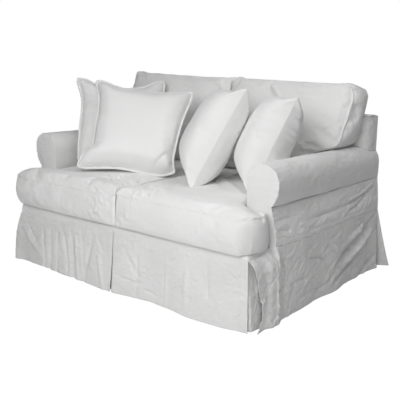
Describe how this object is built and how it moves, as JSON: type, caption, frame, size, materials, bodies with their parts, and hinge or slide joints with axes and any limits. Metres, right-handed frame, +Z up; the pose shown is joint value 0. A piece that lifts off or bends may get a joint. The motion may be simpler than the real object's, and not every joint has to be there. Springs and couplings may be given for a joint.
{
  "type": "sofa slipcover set",
  "caption": "White cotton slipcover set for a two-seat sofa with rolled arms: fitted body cover with a pleated skirt, boxed T cushions and scatter pillows.",
  "frame": {"origin": "on the floor, under the middle of the whole set", "axes": "+X to the right as seen from the front, +Y towards the back, +Z up; the front of the seat faces -Y"},
  "size_m": [1.7162, 1.1528, 0.9755],
  "materials": {
    "cover_cotton": "plain-woven white cotton, washed, matt, softly creased",
    "skirt_cotton": "plain-woven white cotton, washed, hanging in soft uneven folds",
    "cushion_cotton": "plain-woven white cotton over a soft filling, puckered at the seams",
    "pillow_cotton": "plain-woven white cotton over a soft filling, smooth in the middle and puckered at the edges",
    "piping_cotton": "bias-cut white cotton over a cord"
  },
  "bodies": {
    "root": {"deck": "cover_cotton", "front_band": "cover_cotton", "arm_sleeve_L": "cover_cotton", "arm_sleeve_R": "cover_cotton", "arm_outer_L": "cover_cotton", "arm_outer_R": "cover_cotton", "arm_facing_L": "cover_cotton", "arm_facing_R": "cover_cotton", "inside_back": "cover_cotton", "outside_back": "cover_cotton", "back_top": "cover_cotton", "back_wing_L": "cover_cotton", "back_wing_R": "cover_cotton", "skirt_front_L": "skirt_cotton", "skirt_front_R": "skirt_cotton", "skirt_side_L": "skirt_cotton", "skirt_side_R": "skirt_cotton", "skirt_back": "skirt_cotton", "pleat_centre": "skirt_cotton", "pleat_corner_L": "skirt_cotton", "pleat_corner_R": "skirt_cotton", "seat_cushion_L": "cushion_cotton", "seat_cushion_R": "cushion_cotton", "back_cushion_L": "cushion_cotton", "back_cushion_R": "cushion_cotton", "pillow_1": "pillow_cotton", "pillow_2": "pillow_cotton", "pillow_3": "pillow_cotton", "pillow_4": "pillow_cotton", "piping_1": "piping_cotton", "piping_2": "piping_cotton"}
  },
  "joints": []
}
